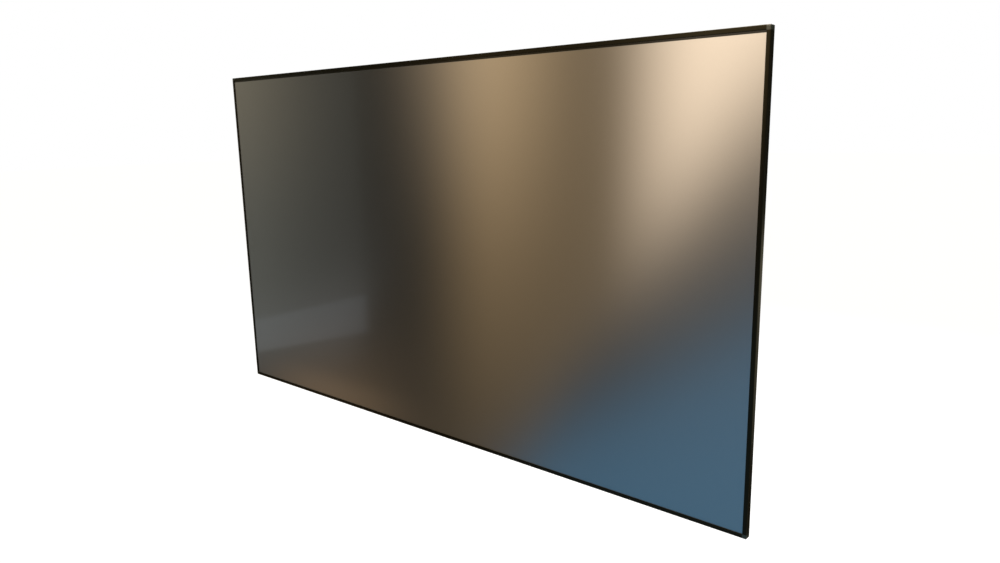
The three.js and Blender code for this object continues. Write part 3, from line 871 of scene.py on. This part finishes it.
def floor():
    """A matt pale floor that keeps the object's shadow, lifted to white by a glow that lights
    nothing."""
    material = bpy.data.materials.new("pale_floor")
    material.use_nodes = True
    tree = material.node_tree
    tree.nodes.clear()
    matt = node(tree, "ShaderNodeBsdfDiffuse", {"Color": FLOOR_COLOUR})
    lift = worked(tree, "MULTIPLY", seen_share(tree), FLOOR_LIFT)
    glow = node(tree, "ShaderNodeEmission", {"Strength": lift})
    both = node(tree, "ShaderNodeAddShader", {0: matt.outputs[0], 1: glow.outputs[0]})
    node(tree, "ShaderNodeOutputMaterial", {"Surface": both.outputs[0]})
    signs = ((-1, -1), (1, -1), (1, 1), (-1, 1))
    corners = [(x * FLOOR_HALF, y * FLOOR_HALF, FLOOR_Z) for x, y in signs]
    staged("floor", corners, [(0, 1, 2, 3)], material)


def world():
    """White where it is seen, and a soft warm white where it lights the object."""
    made = bpy.data.worlds.new("studio")
    made.use_nodes = True
    tree = made.node_tree
    tree.nodes.clear()
    soft = node(tree, "ShaderNodeBackground", {"Color": SKY_COLOUR, "Strength": SKY_LIGHT})
    white = node(tree, "ShaderNodeBackground", {"Color": (1, 1, 1, 1), "Strength": 1.0})
    mix = node(tree, "ShaderNodeMixShader", {
        0: seen_share(tree), 1: soft.outputs[0], 2: white.outputs[0]})
    node(tree, "ShaderNodeOutputWorld", {"Surface": mix.outputs[0]})
    bpy.context.scene.world = made


# The cards that the sheet and the bezel's side reflect: one before the screen, by its depth, top,
# half width and the depths where its folded edges end, and one beside it
ROOM_Y = -1.0
ROOM_TOP = 1.4
ROOM_HALF = 5
ROOM_OVER = 0.6
ROOM_UNDER = -0.03
BESIDE_FROM = OUTER_W / 2 + 0.02
BESIDE_TO = 4
BESIDE_Y = 0.5
CARD_LOW = FLOOR_Z + 0.01

# Soft patches of light on the reflectors, over x and z: the middle, half size and soft edge of
# each, how far its sides lean in x for each metre up, how far it climbs for each metre along,
# and its light
ROOM_LIGHT = {
    "dim_all": dict(at=(-1, 0), half=(6, 4), soft=(0.1, 0.1), light=(0.005, 0.006, 0.004)),
    "left_block": dict(at=(-2.95, 0.97), half=(1.4, 2.1), soft=(0.04, 0.03), climb=0.29,
                       light=(0.05, 0.053, 0.05)),
    "left_fade": dict(at=(-4, 0.66), half=(1.65, 2.1), soft=(0.65, 0.03), climb=0.29,
                      light=(0.088, 0.092, 0.08)),
    "left_glow": dict(at=(-3.4, 1.4), half=(1.1, 1.0), soft=(1.0, 0.8), light=(0.23, 0.175, 0.1)),
    "pale_band": dict(at=(-3, -1.025), half=(1.45, 0.112), soft=(0.04, 0.02), climb=0.28,
                      light=(0.18, 0.205, 0.24)),
    "amber_low": dict(at=(-1.8, -2.08), half=(0.55, 1.0), soft=(0.45, 0.08), light=(0.34, 0.22, 0.12)),
    "warm_streak": dict(at=(-0.54, 0.9), half=(0.2, 1.0), soft=(0.35, 2.0), lean=0.06,
                        light=(0.88, 0.59, 0.29)),
    "warm_glow": dict(at=(-0.68, 1.3), half=(0.28, 0.9), soft=(0.5, 0.7), light=(0.7, 0.54, 0.37)),
    "warm_broad": dict(at=(0.6, 1.22), half=(0.95, 1.0), soft=(0.35, 0.3), climb=1.25,
                       light=(0.25, 0.17, 0.085)),
    "cream_high": dict(at=(1.4, 2.38), half=(1.14, 1.05), soft=(0.24, 0.33), climb=1.17,
                       light=(2.2, 1.8, 1.41)),
    "blue_low": dict(at=(1.2, -1.0), half=(1.6, 1.0), soft=(0.25, 0.25), climb=0.72,
                     light=(0.08, 0.24, 0.42)),
}
SIDE_LIGHT = {
    "dim_all": dict(at=(2, 0), half=(4, 4), soft=(0.1, 0.1), light=(0.05, 0.05, 0.04)),
    "grey_band": dict(at=(2, -0.04), half=(4, 0.12), soft=(0.1, 0.06), light=(0.35, 0.345, 0.32)),
    "grey_low": dict(at=(2, -0.25), half=(4, 0.33), soft=(0.1, 0.15), light=(0.33, 0.33, 0.31)),
}


def patch_group():
    """Patch: one inside a slanted block in x and z, falling smoothly to nothing past its edge."""
    labels = ["X", "Z", "Half X", "Half Z", "Soft X", "Soft Z", "Lean", "Climb"]
    tree, given, out = group("patch", dict.fromkeys(labels, 1.0), {"Mask": "NodeSocketFloat"})
    place = node(tree, "ShaderNodeTexCoord")
    axes = node(tree, "ShaderNodeSeparateXYZ", {0: place.outputs["Object"]})
    off_x = worked(tree, "SUBTRACT", axes.outputs[0], given.outputs["X"])
    off_z = worked(tree, "SUBTRACT", axes.outputs[2], given.outputs["Z"])
    masks = []
    for off, other, slant, axis in ((off_x, off_z, "Lean", "X"), (off_z, off_x, "Climb", "Z")):
        half, soft = given.outputs[f"Half {axis}"], given.outputs[f"Soft {axis}"]
        shift = worked(tree, "MULTIPLY", other, given.outputs[slant])
        far = worked(tree, "ABSOLUTE", worked(tree, "SUBTRACT", off, shift))
        start = worked(tree, "SUBTRACT", half, soft)
        end = worked(tree, "ADD", half, soft)
        fall = node(tree, "ShaderNodeMapRange", {0: far, 1: start, 2: end, 3: 1.0, 4: 0.0},
                    interpolation_type="SMOOTHSTEP")
        masks.append(fall.outputs[0])
    tree.links.new(worked(tree, "MULTIPLY", *masks), out.inputs["Mask"])
    return tree


PATCH = patch_group()


def reflector(name, across, fold, patches):
    """A folded card seen only off gloss, with soft patches of coloured light. The fold is its
    outline in y and z, carried across from one x to another."""
    material = bpy.data.materials.new(name)
    material.use_nodes = True
    tree = material.node_tree
    tree.nodes.clear()
    total = None
    for patch in patches.values():
        (at_x, at_z), (half_x, half_z), (soft_x, soft_z) = patch["at"], patch["half"], patch["soft"]
        mask = use(tree, PATCH, X=at_x, Z=at_z, Half_X=half_x, Half_Z=half_z, Soft_X=soft_x,
                   Soft_Z=soft_z, Lean=patch.get("lean", 0.0), Climb=patch.get("climb", 0.0))
        light = node(tree, "ShaderNodeVectorMath", {0: patch["light"], "Scale": mask},
                     operation="SCALE").outputs[0]
        if total is not None:
            light = node(tree, "ShaderNodeVectorMath", {0: total, 1: light}, operation="ADD").outputs[0]
        total = light
    glow = node(tree, "ShaderNodeEmission", {"Color": total, "Strength": 1.0})
    node(tree, "ShaderNodeOutputMaterial", {"Surface": glow.outputs[0]})
    card = staged(name, [(x, y, z) for y, z in fold for x in across],
                  [(2 * i, 2 * i + 1, 2 * i + 3, 2 * i + 2) for i in range(len(fold) - 1)], material)
    card.visible_camera = False
    card.visible_diffuse = False
    card.visible_transmission = False
    card.visible_volume_scatter = False
    card.visible_shadow = False


def reflectors():
    """One card before the screen, folded back under and over it, and one beside it."""
    fold = [(ROOM_UNDER, CARD_LOW), (ROOM_Y, CARD_LOW), (ROOM_Y, ROOM_TOP), (ROOM_OVER, ROOM_TOP)]
    reflector("room_before", (-ROOM_HALF, ROOM_HALF), fold, ROOM_LIGHT)
    upright = [(BESIDE_Y, CARD_LOW), (BESIDE_Y, ROOM_TOP)]
    reflector("room_beside", (BESIDE_FROM, BESIDE_TO), upright, SIDE_LIGHT)


LAMPS = {
    "right_ceiling_lamp": dict(at=(0.85, -0.3, 1.38), aim=(0.85, -0.3, 0), size=(0.3, 0.15), watts=6,
                               colour=(1, 0.85, 0.68)),
    "behind": dict(at=(0, 3.0, 2.0), aim=(0, 0, 0), size=(3.0, 2.0), watts=60, colour=(1, 1, 1)),
}


def lamp(name, at, aim, size, watts, colour):
    """A rectangular lamp at a place, turned towards another."""
    data = bpy.data.lights.new(name, "AREA")
    data.shape = "RECTANGLE"
    data.size, data.size_y = size
    data.energy = watts
    data.color = colour
    made = bpy.data.objects.new(name, data)
    made.location = at
    made.rotation_mode = "QUATERNION"
    made.rotation_quaternion = (Vector(aim) - Vector(at)).to_track_quat("-Z", "Y")
    bpy.context.scene.collection.objects.link(made)


for side_name, side_values in SIDES.items():
    trim_bar(side_name, side_values)
    tension_rod(side_name, side_values)
for corner_name, corner_values in CORNERS.items():
    corner_cap(corner_name, *corner_values)
sheet_piece()
all_screws()
dress_nodes()
camera()
floor()
world()
reflectors()
for lamp_name, lamp_values in LAMPS.items():
    lamp(lamp_name, **lamp_values)

view = bpy.context.scene.view_settings
view.view_transform = "Standard"
